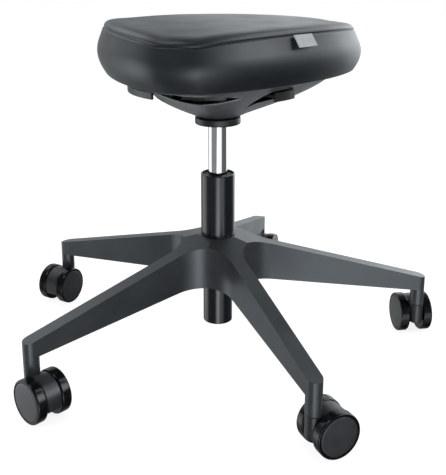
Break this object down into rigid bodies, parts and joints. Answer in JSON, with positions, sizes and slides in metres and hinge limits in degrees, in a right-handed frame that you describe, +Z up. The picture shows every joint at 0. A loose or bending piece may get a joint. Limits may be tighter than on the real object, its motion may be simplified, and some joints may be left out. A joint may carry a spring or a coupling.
{
  "type": "perch stool",
  "caption": "Height-adjustable perch stool: padded trefoil seat on a tilting release lever and gas column, star base of sloping arms, twin-wheel castors.",
  "frame": {"origin": "centre of the bounding box in plan, on the floor under the castors", "axes": "+Z up; -Y is the side seen in the picture; the seat's front corner points 13.9 degrees from -Y towards -X"},
  "size_m": [0.639, 0.6674, 0.4921],
  "materials": {
    "base_paint": "satin anthracite powder coat on cast aluminium",
    "tube_gloss": "gloss black",
    "chrome": "polished",
    "steel": "plain",
    "bush_plastic": "matt black",
    "rubber": "matt black",
    "black_plastic": "satin black",
    "pan_plastic": "matt black",
    "housing_grey": "satin anthracite",
    "upholstery": "smooth black imitation leather with a soft sheen",
    "label_cloth": "light grey woven tape",
    "tread": "glossy black tread",
    "wheel_cap": "satin dark grey",
    "hood_grey": "satin dark grey"
  },
  "bodies": {
    "base": {"base_star": "base_paint", "guide_tube": "tube_gloss", "guide_bush": "bush_plastic", "bearing_lower_race": "steel", "castor_1_stem": "steel", "castor_2_stem": "steel", "castor_3_stem": "steel", "castor_4_stem": "steel", "castor_5_stem": "steel"},
    "bearing_cage_body": {"bearing_cage": "steel"},
    "spindle": {"piston_rod": "chrome", "rod_clip": "steel", "bearing_upper_race": "steel", "rubber_bumper": "rubber"},
    "seat": {"gas_cylinder": "chrome", "rod_seal": "rubber", "flange_collar": "black_plastic", "mechanism_housing": "housing_grey", "seat_pan": "pan_plastic", "pan_screw_1": "steel", "pan_screw_2": "steel", "pan_screw_3": "steel", "pan_screw_4": "steel", "cushion": "upholstery", "label": "label_cloth", "lever_pivot_pin": "steel"},
    "lever": {"release_lever": "black_plastic"},
    "valve": {"valve_pin": "steel"},
    "castor_1": {"castor_1_body": "hood_grey", "castor_1_axle": "steel"},
    "castor_1_roller_left": {"castor_1_wheel_left": "tread", "castor_1_cap_left": "wheel_cap"},
    "castor_1_roller_right": {"castor_1_wheel_right": "tread", "castor_1_cap_right": "wheel_cap"},
    "castor_2": {"castor_2_body": "hood_grey", "castor_2_axle": "steel"},
    "castor_2_roller_left": {"castor_2_wheel_left": "tread", "castor_2_cap_left": "wheel_cap"},
    "castor_2_roller_right": {"castor_2_wheel_right": "tread", "castor_2_cap_right": "wheel_cap"},
    "castor_3": {"castor_3_body": "hood_grey", "castor_3_axle": "steel"},
    "castor_3_roller_left": {"castor_3_wheel_left": "tread", "castor_3_cap_left": "wheel_cap"},
    "castor_3_roller_right": {"castor_3_wheel_right": "tread", "castor_3_cap_right": "wheel_cap"},
    "castor_4": {"castor_4_body": "hood_grey", "castor_4_axle": "steel"},
    "castor_4_roller_left": {"castor_4_wheel_left": "tread", "castor_4_cap_left": "wheel_cap"},
    "castor_4_roller_right": {"castor_4_wheel_right": "tread", "castor_4_cap_right": "wheel_cap"},
    "castor_5": {"castor_5_body": "hood_grey", "castor_5_axle": "steel"},
    "castor_5_roller_left": {"castor_5_wheel_left": "tread", "castor_5_cap_left": "wheel_cap"},
    "castor_5_roller_right": {"castor_5_wheel_right": "tread", "castor_5_cap_right": "wheel_cap"}
  },
  "joints": [
    {"name": "seat_swivel", "type": "hinge", "parent": "base", "child": "spindle", "pos_m": [-0.01435, -0.0208, 0.04], "axis": [0, 0, 1], "continuous": true},
    {"name": "bearing_roll", "type": "hinge", "parent": "base", "child": "bearing_cage_body", "pos_m": [-0.01435, -0.0208, 0.041], "axis": [0, 0, 1], "continuous": true},
    {"name": "seat_height", "type": "slide", "parent": "spindle", "child": "seat", "axis": [0, 0, 1], "range_m": [-0.065, 0.065]},
    {"name": "lever_tilt", "type": "hinge", "parent": "seat", "child": "lever", "pos_m": [-0.02035, -0.04507, 0.3894], "axis": [-0.9707, 0.2402, 0], "range_deg": [0, 3], "stiffness_Nm_per_rad": 4},
    {"name": "valve_press", "type": "slide", "parent": "seat", "child": "valve", "axis": [0, 0, -1], "range_m": [0, 0.0015]},
    {"name": "castor_1_swivel", "type": "hinge", "parent": "base", "child": "castor_1", "pos_m": [0.06427, 0.27803, 0.05], "axis": [0, 0, 1], "continuous": true},
    {"name": "castor_1_roll_left", "type": "hinge", "parent": "castor_1", "child": "castor_1_roller_left", "pos_m": [0.07159, 0.29814, 0.0296], "axis": [0.9397, -0.342, 0], "continuous": true},
    {"name": "castor_1_roll_right", "type": "hinge", "parent": "castor_1", "child": "castor_1_roller_right", "pos_m": [0.07159, 0.29814, 0.0296], "axis": [0.9397, -0.342, 0], "continuous": true},
    {"name": "castor_2_swivel", "type": "hinge", "parent": "base", "child": "castor_2", "pos_m": [0.29415, -0.00323, 0.05], "axis": [0, 0, 1], "continuous": true},
    {"name": "castor_2_roll_left", "type": "hinge", "parent": "castor_2", "child": "castor_2_roller_left", "pos_m": [0.29136, 0.01799, 0.0296], "axis": [0.9914, 0.1305, 0], "continuous": true},
    {"name": "castor_2_roll_right", "type": "hinge", "parent": "castor_2", "child": "castor_2_roller_right", "pos_m": [0.29136, 0.01799, 0.0296], "axis": [0.9914, 0.1305, 0], "continuous": true},
    {"name": "castor_3_swivel", "type": "hinge", "parent": "base", "child": "castor_3", "pos_m": [0.0977, -0.30877, 0.05], "axis": [0, 0, 1], "continuous": true},
    {"name": "castor_3_roll_left", "type": "hinge", "parent": "castor_3", "child": "castor_3_roller_left", "pos_m": [0.11693, -0.29939, 0.0296], "axis": [0.4384, -0.8988, 0], "continuous": true},
    {"name": "castor_3_roll_right", "type": "hinge", "parent": "castor_3", "child": "castor_3_roller_right", "pos_m": [0.11693, -0.29939, 0.0296], "axis": [0.4384, -0.8988, 0], "continuous": true},
    {"name": "castor_4_swivel", "type": "hinge", "parent": "base", "child": "castor_4", "pos_m": [-0.2536, -0.21635, 0.05], "axis": [0, 0, 1], "continuous": true},
    {"name": "castor_4_roll_left", "type": "hinge", "parent": "castor_4", "child": "castor_4_roller_left", "pos_m": [-0.23813, -0.23113, 0.0296], "axis": [-0.6909, -0.723, 0], "continuous": true},
    {"name": "castor_4_roll_right", "type": "hinge", "parent": "castor_4", "child": "castor_4_roller_right", "pos_m": [-0.23813, -0.23113, 0.0296], "axis": [-0.6909, -0.723, 0], "continuous": true},
    {"name": "castor_5_swivel", "type": "hinge", "parent": "base", "child": "castor_5", "pos_m": [-0.27426, 0.14632, 0.05], "axis": [0, 0, 1], "continuous": true},
    {"name": "castor_5_roll_left", "type": "hinge", "parent": "castor_5", "child": "castor_5_roller_left", "pos_m": [-0.28453, 0.12754, 0.0296], "axis": [-0.8771, 0.4802, 0], "continuous": true},
    {"name": "castor_5_roll_right", "type": "hinge", "parent": "castor_5", "child": "castor_5_roller_right", "pos_m": [-0.28453, 0.12754, 0.0296], "axis": [-0.8771, 0.4802, 0], "continuous": true}
  ],
  "couplings": [
    {"joint": "bearing_roll", "follows": "seat_swivel", "ratio": 0.5},
    {"joint": "valve_press", "follows": "lever_tilt", "m_per_rad": 0.025}
  ]
}
